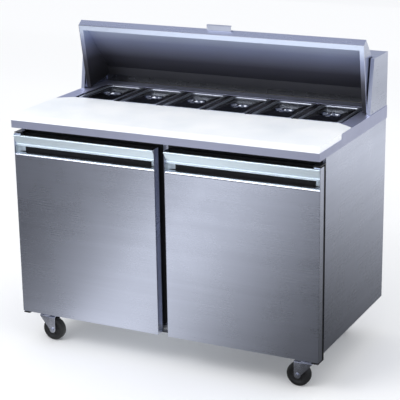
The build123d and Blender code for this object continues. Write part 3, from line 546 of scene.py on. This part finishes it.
# ------------------------------------------------------------------ doors
PULL_SECTION = [  # distance back and height round the folded sheet
    (16.5, 827.6), (5.0, 829.7), (2.6, 829.2), (1.3, 827.4), (1.4, 825.0), (3.2, 823.4), (5.6, 823.0),
    (6.6, 821.6), (6.9, 819.2), (19.4, 795.4), (19.0, 793.6), (17.4, 792.0), (17.0, 789.4), (18.6, 786.4),
    (22.0, 784.0), (26.0, 783.0), (33.0, 782.8), (33.0, 784.8), (26.4, 785.4), (23.2, 787.6),
    (22.0, 791.2), (21.8, 794.8), (9.2, 819.4), (8.8, 823.2), (10.0, 825.2), (16.5, 825.4),
]
LIP_ARC = (11.0, 751.0, 14.0, 8.5)  # front, foot, reach back and height of the rounded ledge
LIP_FLAT = 5  # the level part behind the round
EASE = 0.3  # left at each end


def door_pull(name):
    """The folded pull: a rolled top edge, a groove, a sloping face and a rolled lower edge."""
    node = f"door_pull_{name}"
    low, high = limits(node)
    section = [(at_front(y), z) for y, z in PULL_SECTION]
    vertices, faces = bar(section, low.x, high.x)
    obj = piece(f"pull_{name}", vertices, faces, pull_finish_and_painted_highlight, f"door_{name}", "stainless", [node], sharp=28)
    soften(obj, 0.5, 50)


def ledge_lip(name):
    """The rounded top edge of the door panel, in front of the recess."""
    low, high = limits(f"door_recess_{name}")
    front, foot, reach, rise = LIP_ARC
    section = [(at_front(front + reach), foot), (at_front(front), foot)]
    for step in range(1, 8):
        angle = math.radians(90 * step / 7)
        y = front + reach * (1 - math.cos(angle))
        section.append((at_front(y), foot + rise * math.sin(angle)))
    back = at_front(front + reach + LIP_FLAT)
    section += [(back, foot + rise), (back, foot)]
    vertices, faces = bar(section, low.x + EASE, high.x - EASE)
    # The ledge takes the brightened steel: a painted highlight.
    piece(f"ledge_lip_{name}", vertices, faces, lip_painted_highlight_steel, f"door_{name}", "stainless", sharp=40)


COVE = 26.0  # radius of the cheek's curve
COVE_Z = (760.0, 782.0)  # its foot and top
RECESS_SHEET = 2.3  # from the recess's back face to its front face


def recess_cove(name, end):
    """A curved cheek that closes one end of the finger recess; end is -1 left and +1 right."""
    low, high = limits(f"door_recess_{name}")
    wall = high.x - EASE if end > 0 else low.x + EASE
    back = high.y - RECESS_SHEET
    rings = []
    for z in COVE_Z:
        ring = [(wall, back, z), (wall, back - COVE, z)]
        for step in range(1, 9):
            angle = math.radians(90 * step / 8)
            x = wall - end * COVE * (1 - math.cos(angle))
            ring.append((x, back - COVE * (1 - math.sin(angle)), z))
        rings.append(ring)
    vertices, faces = join_rings(rings, cap_first=True, cap_last=True)
    side = "left" if end < 0 else "right"
    # The cheek takes the pull's bright, partly diffuse finish: a painted highlight.
    piece(f"recess_end_{name}_{side}", vertices, faces, pull_finish_and_painted_highlight, f"door_{name}", "stainless", sharp=40)


GASKET = [  # inset from the seal's outline, and distance back, round the seal's section
    (0, 54.0), (0, 55.4), (3.2, 56.4), (2.2, 57.6), (1.0, 59.0), (0.8, 61.0), (2.0, 62.6), (4.2, 63.2),
    (11.0, 63.2), (13.4, 62.6), (14.6, 61.0), (14.2, 59.0), (12.8, 57.6), (11.6, 56.4),
    (15.6, 55.4), (15.6, 54.0),
]
GASKET_CORNER = 5


def gasket(name):
    """The magnetic seal: a dart, a folding bellows and a flat magnet pocket, mitred at the corners."""
    node = f"door_gasket_{name}"
    low, high = limits(node)
    centre = (low + high) / 2
    rings = []
    for inset, back in GASKET:
        loop = rounded(high.x - low.x - 2 * inset, high.z - low.z - 2 * inset, GASKET_CORNER, steps=3)
        rings.append([(centre.x + x, at_front(back), centre.z + z) for x, z in loop])
    vertices, faces = join_rings(rings, wrap=True)
    piece(f"gasket_{name}", vertices, faces, rubber, f"door_{name}", "gasket", [node], sharp=50)


for name in SIDES:
    door_pull(name)
    ledge_lip(name)
    gasket(name)
    for end in (-1, 1):
        recess_cove(name, end)


# ------------------------------------------------------------------ casters
FORK_HALF = 19.6  # half the width over the two legs
FORK_BAND = 13.0  # half the width of the round foot that holds the axle
FORK_REACH = 26.0  # past the swivel's axis
FORK_SHOULDER = 94.0  # height of the sloping edge's top
FORK_HEAD = 93.5  # height at which the legs bend in under the crown
FORK_BEND = 6.0  # radius of that bend
FORK_TAPER = 0.12  # how much each leg leans in for each millimetre past its round foot
FORK_SHEET = 2.4
TYRE_RADIUS = 45.0
TYRE = [  # radius and half width
    (6.0, 16.0), (11.0, 16.0), (12.0, 15.2), (12.4, 12.6), (24.0, 11.4), (28.4, 13.4), (29.6, 14.2),
    (30.6, 13.6), (31.4, 14.6), (33.0, 15.0), (38.5, 14.8), (42.2, 13.2), (44.2, 10.4),
    (TYRE_RADIUS, 6.0),
]
CROWN = [  # radius and height above the floor
    (7.0, 113.0), (15.0, 113.0), (21.0, 112.0), (25.0, 109.4), (25.8, 107.4), (25.0, 106.2), (22.6, 105.6),
    (22.6, 104.4), (25.2, 103.8), (26.0, 102.6), (26.0, 100.6), (24.0, 100.0), (7.0, 100.0),
]
RIBS = 6
RIB_ENDS = ((11.5, 14.2), (27.5, 13.0))  # radius, and how far the rib stands out there
RIB_ROOT = 9
RIB_HALF = (1.6, 1.0)  # half the rib's width at its root and at its crest
WASHER_THICK = 1.4
WASHER = [(9.0, 0.0), (9.0, 1.0), (8.4, WASHER_THICK), (0.6, WASHER_THICK)]
BOLT_HEAD = [(7.2, 0.0), (7.2, 3.4), (6.2, 4.6), (0.6, 4.9)]


def fork(corner, x, y, hub):
    """The two legs of a stamped fork, bent in under the crown, for a swivel axis at x and y."""
    out = 1 if x > hub.x else -1
    reach = abs(x - hub.x) + FORK_REACH
    rings = []
    for along in (-FORK_BAND, -11, -8, -4, 0, 4, 8, 11, FORK_BAND, 20, 28, 38, 48, reach):
        past = along - FORK_BAND
        if past <= 0:
            foot = hub.z - math.sqrt(max(FORK_BAND ** 2 - along ** 2, 0))
        else:
            foot = hub.z + past * (FORK_SHOULDER - hub.z) / (reach - FORK_BAND)
        half = FORK_HALF - FORK_TAPER * max(past, 0)
        middle = FORK_HEAD - (FORK_SHOULDER - foot) / 2  # it meets the bend at the shoulder
        ring = [(-half, foot), (-half, middle), (-half, FORK_HEAD)]
        for turn in (30, 60, 90):
            angle = math.radians(turn)
            inward = FORK_BEND * (1 - math.cos(angle))
            ring.append((inward - half, FORK_HEAD + FORK_BEND * math.sin(angle)))
        ring += [(-side, z) for side, z in reversed(ring)]
        rings.append([(hub.x + out * along, y + side, z) for side, z in ring])
    count = len(rings[0])
    vertices = [point for ring in rings for point in ring]
    faces = []
    for a in range(len(rings) - 1):
        for i in range(count - 1):
            near, far = a * count + i, (a + 1) * count + i
            faces.append((near, near + 1, far + 1, far))
    legs = piece(
        f"fork_{corner}", vertices, faces, zinc, f"caster_{corner}", "zinc",
        [f"caster_fork_{corner}"], sharp=30, solid=FORK_SHEET,
    )
    soften(legs, 0.5, 50)


def wheel(corner, hub):
    """A rubber wheel with ribs across its dished faces."""
    root_half, crest_half = RIB_HALF
    profile = TYRE + [(TYRE_RADIUS, 0.0)] + [(r, -h) for r, h in reversed(TYRE)]
    parts = [turned(tuple(hub), (0, 1, 0), profile, 64)]
    for face in (-1, 1):
        for rib in range(RIBS):
            angle = 2 * math.pi * rib / RIBS
            spoke = Vector((math.cos(angle), 0, math.sin(angle)))
            flank = Vector((-math.sin(angle), 0, math.cos(angle)))
            root = Vector((0, face * RIB_ROOT, 0))
            rings = []
            for radius, proud in RIB_ENDS:
                middle = hub + spoke * radius
                crest = Vector((0, face * proud, 0))
                rings.append([
                    middle + flank * root_half + root,
                    middle + flank * crest_half + crest,
                    middle - flank * crest_half + crest,
                    middle - flank * root_half + root,
                ])
            parts.append(join_rings(rings, cap_first=True, cap_last=True))
    piece(
        f"wheel_{corner}", *combine(*parts), tyre_rubber, f"wheel_{corner}", "caster_rubber",
        [f"caster_wheel_{corner}"], sharp=32,
    )


def caster(corner):
    """A swivelling fork with its ball-race crown, axle bolt and wheel."""
    pivot = JOINTS[f"caster_{corner}_swivel"]["pos_m"]
    x, y = pivot[0] / MM, pivot[1] / MM
    low, high = limits(f"caster_wheel_{corner}")
    hub = (low + high) / 2
    fork(corner, x, y, hub)
    piece(f"crown_{corner}", *turned((x, y, 0), (0, 0, 1), CROWN), zinc, f"caster_{corner}", "zinc")
    for face in (-1, 1):
        seat = Vector((hub.x, y + face * (FORK_HALF + 0.1), hub.z))
        under_head = seat + Vector((0, face * WASHER_THICK, 0))
        bolt = combine(
            turned(seat, (0, face, 0), WASHER, 24, wrap=False),
            turned(under_head, (0, face, 0), BOLT_HEAD, 6, wrap=False),
        )
        end = "front" if face < 0 else "back"
        piece(f"axle_{end}_{corner}", *bolt, zinc, f"caster_{corner}", "zinc", sharp=20)
    wheel(corner, hub)


for end in ("front", "rear"):
    for name in SIDES:
        caster(f"{end}_{name}")


# ------------------------------------------------------------------ hood and back
def box_bar(x, y, z):
    """The vertices and faces of a bar between its limits on each axis, in millimetres."""
    loop = [(y[0], z[0]), (y[1], z[0]), (y[1], z[1]), (y[0], z[1])]
    return bar(loop, x[0], x[1])


CURTAIN_INSET = 16  # from the outer faces of the hood's cheeks
CURTAIN_GAP = 1.9  # from the hood's back face to the panel's
HEM = 5  # how far the folded edge stands out


def hood_shade_sheet():
    """A black sheet on the inside of the hood, with a folded lower edge, that stands for the shade there:
    painted shade.
    """
    low, high = limits("hood_shell")
    half = limits("hood_cheeks")[1].x - CURTAIN_INSET
    back = high.y - CURTAIN_GAP
    foot, head = low.z + 1, high.z - 6
    profile = [(back, foot), (back - HEM, foot), (back - HEM - 0.4, foot + 1), (back - HEM, foot + 2)]
    profile += [(back - 1.2, foot + 2.4), (back - 1.0, foot + 4), (back - 1.0, head), (back, head)]
    vertices, faces = bar(profile, -half, half)
    piece("hood_shade_sheet", vertices, faces, black_paint_and_painted_shade, "root", "black_plastic", sharp=30)


LOUVRE_BLADE = [  # distance back from the grille, and height from the slot's middle
    (0.0, 3.2), (-1.4, 3.6), (-4.2, 1.4), (-8.0, -2.6),
    (-8.6, -2.2), (-4.8, 2.4), (-1.6, 4.6), (0.0, 4.4),
]
LOUVRE_BANKS = (-330, 0, 330)
LOUVRE_HALF = 116
LOUVRE_ROWS = 11
LOUVRE_PITCH = 20


def louvres():
    """Sloping blades pressed inward behind every slot of the rear grille."""
    low, high = limits("rear_grille")
    middle = (low.z + high.z) / 2
    for bank, x in enumerate(LOUVRE_BANKS, start=1):
        blades = []
        for row in range(LOUVRE_ROWS):
            z = middle + (row - (LOUVRE_ROWS - 1) / 2) * LOUVRE_PITCH
            section = [(low.y + y, z + up) for y, up in LOUVRE_BLADE]
            blades.append(bar(section, x - LOUVRE_HALF, x + LOUVRE_HALF))
        piece(f"louvre_bank_{bank}", *combine(*blades), back_sheet, "root", "galvanised", sharp=30)


# The outline of a screw's head: radius and height
SCREW = [(0.4, 0.0), (3.9, 0.0), (3.9, 0.5), (3.2, 1.1), (1.9, 1.4), (1.7, 0.7), (0.4, 0.7)]
SCREW_X = (-590, -300, 0, 300, 590)
SCREW_MARGIN = 9  # inside the grille's edges
SCREW_SUNK = 0.6
PANEL_FOOT_ROW = 12  # above the grille's top
PANEL_TOP_ROW = 32  # below the back panel's top


def back_screws():
    """Screws round the rear grille and along the upper back panel, sunk into the sheets."""
    grille_low, grille_high = limits("rear_grille")
    panel_top = limits("back_skin")[1].z
    back = grille_high.y - SCREW_SUNK
    rows = [grille_low.z + SCREW_MARGIN, grille_high.z - SCREW_MARGIN]
    rows += [grille_high.z + PANEL_FOOT_ROW, panel_top - PANEL_TOP_ROW]
    heads = []
    for x in SCREW_X:
        for z in rows:
            heads.append(turned((x, back, z), (0, 1, 0), SCREW, 16, wrap=False))
    piece("back_screws", *combine(*heads), zinc, "root", "zinc", sharp=40)


# ------------------------------------------------------------------ refrigeration details
def pipe(points, radius, steps=10):
    """A round rod or pipe along straight runs with rounded corners."""
    path = []
    bend = radius * 3.2
    for i, point in enumerate(points):
        here = Vector(point)
        if i in (0, len(points) - 1):
            path.append(here)
            continue
        before = here + (Vector(points[i - 1]) - here).normalized() * bend
        after = here + (Vector(points[i + 1]) - here).normalized() * bend
        for step in range(5):
            t = step / 4
            path.append(before * (1 - t) ** 2 + here * 2 * t * (1 - t) + after * t ** 2)
    rings = []
    frame_up = None
    for i, point in enumerate(path):
        ahead = path[min(i + 1, len(path) - 1)] - path[max(i - 1, 0)]
        along = ahead.normalized()
        frame_up = along.orthogonal() if frame_up is None else frame_up - along * frame_up.dot(along)
        frame_up.normalize()
        other = along.cross(frame_up)
        ring = []
        for n in range(steps):
            angle = 2 * math.pi * n / steps
            ring.append(point + (frame_up * math.cos(angle) + other * math.sin(angle)) * radius)
        rings.append(ring)
    return join_rings(rings, cap_first=True, cap_last=True)


COPPER_RADIUS = 4
PIPE_DROP = 30  # from the compressor's top to where the pipes leave it
# Each pipe's start and bend, out from the compressor's middle, and its rise
DISCHARGE = (20, 90, 70)
SUCTION = (20, 80, 170)
SUCTION_DROP = 20  # below the discharge pipe
COIL_GAP = 40  # from the condenser's side to where the pipe turns
COIL_ENTRY = 16  # behind the condenser's front face


def copper_lines():
    """The pipe from the compressor to the condenser, and the suction pipe on its other side."""
    pot_low, pot_high = limits("compressor")
    coil_low = limits("condenser")[0]
    pot = (pot_low + pot_high) / 2
    level = pot_high.z - PIPE_DROP
    start, bend, rise = DISCHARGE
    top = level + rise
    left = coil_low.x - 1
    entry = coil_low.y + COIL_ENTRY
    discharge = [
        (pot.x + start, pot.y, level), (pot.x + bend, pot.y, level), (pot.x + bend, pot.y, top),
        (left - COIL_GAP, pot.y, top), (left - COIL_GAP, entry, top), (left, entry, top),
    ]
    start, bend, rise = SUCTION
    low = level - SUCTION_DROP
    suction = [(pot.x - start, pot.y, low), (pot.x - bend, pot.y, low), (pot.x - bend, pot.y, low + rise)]
    runs = [pipe(route, COPPER_RADIUS) for route in (discharge, suction)]
    piece("copper_lines", *combine(*runs), copper, "root", "coil")


GUARD_GAP = 7  # from the fan's box to the middle of the rings
GUARD_SPREAD = 5  # how far the outer ring reaches past the fan
GUARD_RINGS = 5
GUARD_LEG = 38
SPOKE_RADIUS = 1.3
RING_STEPS = 40
WIRE_STEPS = 6


def wire_ring(centre, radius):
    """A ring of wire two millimetres thick that faces the front."""
    rings = []
    for n in range(RING_STEPS):
        angle = 2 * math.pi * n / RING_STEPS
        spoke = Vector((math.cos(angle), 0, math.sin(angle)))
        ring = []
        for k in range(WIRE_STEPS):
            turn = 2 * math.pi * k / WIRE_STEPS
            ring.append(centre + spoke * (radius + math.cos(turn)) + Vector((0, math.sin(turn), 0)))
        rings.append(ring)
    return join_rings(rings, wrap=True)


def fan_guard():
    """Wire rings in front of the evaporator fan, on four spokes."""
    low, high = limits("evaporator_fan")
    hub = (low + high) / 2
    hub.y = low.y - GUARD_GAP
    outer = (high.x - low.x) / 2 + GUARD_SPREAD
    wires = [wire_ring(hub, outer * step / GUARD_RINGS) for step in range(1, GUARD_RINGS + 1)]
    for k in range(4):
        angle = math.pi / 4 + k * math.pi / 2
        spoke = Vector((math.cos(angle), 0, math.sin(angle)))
        rim = hub + spoke * outer
        route = [hub + spoke * (outer / GUARD_RINGS), rim, rim + Vector((0, GUARD_LEG, 0))]
        wires.append(pipe(route, SPOKE_RADIUS, 8))
    piece("evaporator_guard", *combine(*wires), shelf_coat, "root", "shelf_wire")


POST_Y = (115, 495)  # the posts' distances back from the worktop's front edge
POST_DEPTH = 7.9
POST_SLOTS = 18
SLOT_FOOT = 232
SLOT_PITCH = 25.4
SLOT_HALF = 4
SLOT_TALL = 4


def pilaster_slot_shade():
    """Black boxes up the inner faces of the four outer shelf posts, which stand for the shade in their
    slots: painted shade.
    """
    low, high = limits("shelf_rails")
    slots = []
    for end, x in ((1, low.x + 0.4), (-1, high.x - 0.4)):
        face = x + end * POST_DEPTH
        sides = sorted((face - end * 0.6, face + end * 0.1))
        for back in POST_Y:
            y = at_front(back)
            for n in range(POST_SLOTS):
                z = SLOT_FOOT + n * SLOT_PITCH
                slots.append(box_bar(sides, (y - SLOT_HALF, y + SLOT_HALF), (z, z + SLOT_TALL)))
    piece("pilaster_slot_shade", *combine(*slots), black, "root", "black_plastic")


hood_shade_sheet()
louvres()
back_screws()
copper_lines()
fan_guard()
pilaster_slot_shade()


# ------------------------------------------------------------------ stage
def card(name, centre, size, material):
    """A flat rectangle for the stage."""
    mesh = bpy.data.meshes.new(name)
    x, y = size[0] / 2, size[1] / 2
    mesh.from_pydata([(-x, -y, 0), (x, -y, 0), (x, y, 0), (-x, y, 0)], [], [(0, 1, 2, 3)])
    mesh.materials.append(material)
    piece = bpy.data.objects.new(name, mesh)
    piece.location = centre
    bpy.context.scene.collection.objects.link(piece)
    return piece


def pale_floor():
    """A matt floor that is nearly white."""
    n = Nodes("floor")
    n.set(color=(0.93, 0.94, 0.96), roughness=0.9)
    n.set(**{"Specular IOR Level": 0.1})
    return n.material


BAND_LEAN = 0.29  # how far the band moves to the right for each metre back
BAND = [  # metres across, and brightness
    (-1.35, 0.07), (-1.0, 0.10), (-0.72, 0.22), (-0.45, 0.45), (-0.18, 1.0),
    (0.0, 0.84), (0.27, 0.42), (0.46, 0.22), (0.64, 0.10), (2.0, 0.10),
]
BAND_GAIN = (1.45, 1.0, -2.6, -1.0)  # its strength near and far, and how many metres back each is
RISE = [  # metres back, and brightness
    (-0.5, 0.0), (0.2, 0.10), (1.2, 0.32), (2.1, 0.60), (3.4, 1.0), (4.2, 0.45), (5.6, 1.0),
]


def studio_reflection():
    """What the steel sees in the floor: a band of light in front and a rise towards the back."""
    n = Nodes("studio_reflection")
    coords = n.add("ShaderNodeTexCoord")
    split = n.add("ShaderNodeSeparateXYZ")
    n.link(coords.outputs["Object"], split.inputs["Vector"])
    x, y = split.outputs["X"], split.outputs["Y"]
    across = n.math("SUBTRACT", x, n.math("MULTIPLY", y, BAND_LEAN))
    band = n.math("MULTIPLY", n.curve(across, BAND), n.scaled(y, *BAND_GAIN))
    rise = n.curve(y, RISE)
    bright = n.math("MAXIMUM", band, rise)
    emission = n.add("ShaderNodeEmission")
    emission.inputs["Color"].default_value = (0.96, 0.98, 1.0, 1)
    n.link(bright, emission.inputs["Strength"])
    n.link(emission.outputs["Emission"], n.tree.nodes["Material Output"].inputs["Surface"])
    return n.material


card("floor", (0, 0, 0), (30, 30), pale_floor())
reflection = card("reflected_floor", (0, 0, 3 * MM), (16, 16), studio_reflection())
reflection.visible_camera = False
reflection.visible_diffuse = False
reflection.visible_shadow = False
reflection.visible_transmission = False


def softbox(name, location, target, size, energy, colour=(1, 1, 1)):
    """A soft rectangular lamp aimed at a point."""
    data = bpy.data.lights.new(name, "AREA")
    data.shape = "RECTANGLE"
    data.size, data.size_y = size
    data.energy = energy
    data.color = colour
    lamp = bpy.data.objects.new(name, data)
    lamp.location = location
    aim = Vector(target) - Vector(location)
    lamp.rotation_euler = aim.to_track_quat("-Z", "Y").to_euler()
    bpy.context.scene.collection.objects.link(lamp)


softbox("key", (-1.6, -3.0, 3.6), (0, 0, 0.6), (2.4, 1.6), 60)
softbox("fill", (3.4, -1.6, 2.4), (0, 0, 0.6), (1.6, 1.6), 14, (0.92, 0.95, 1.0))


def studio_world():
    """White behind the object, and a darker dome, brightest overhead, in what the steel sees."""
    world = bpy.data.worlds.new("studio")
    world.use_nodes = True
    tree = world.node_tree
    paths = tree.nodes.new("ShaderNodeLightPath")
    coords = tree.nodes.new("ShaderNodeTexCoord")
    split = tree.nodes.new("ShaderNodeSeparateXYZ")
    dome = tree.nodes.new("ShaderNodeValToRGB")
    seen = tree.nodes.new("ShaderNodeMix")
    seen.data_type = "RGBA"
    tree.links.new(coords.outputs["Generated"], split.inputs["Vector"])
    tree.links.new(split.outputs["Z"], dome.inputs["Fac"])
    ramp = dome.color_ramp.elements
    ramp[0].position, ramp[0].color = 0.0, (0.42, 0.45, 0.54, 1)
    ramp[1].position, ramp[1].color = 0.9, (0.48, 0.51, 0.62, 1)
    tree.links.new(paths.outputs["Is Glossy Ray"], seen.inputs["Factor"])
    seen.inputs["A"].default_value = (1, 1, 1, 1)
    tree.links.new(dome.outputs["Color"], seen.inputs["B"])
    tree.links.new(seen.outputs["Result"], tree.nodes["Background"].inputs["Color"])
    tree.nodes["Background"].inputs["Strength"].default_value = 1.0
    return world


bpy.context.scene.world = studio_world()
bpy.context.scene.view_settings.view_transform = "Standard"
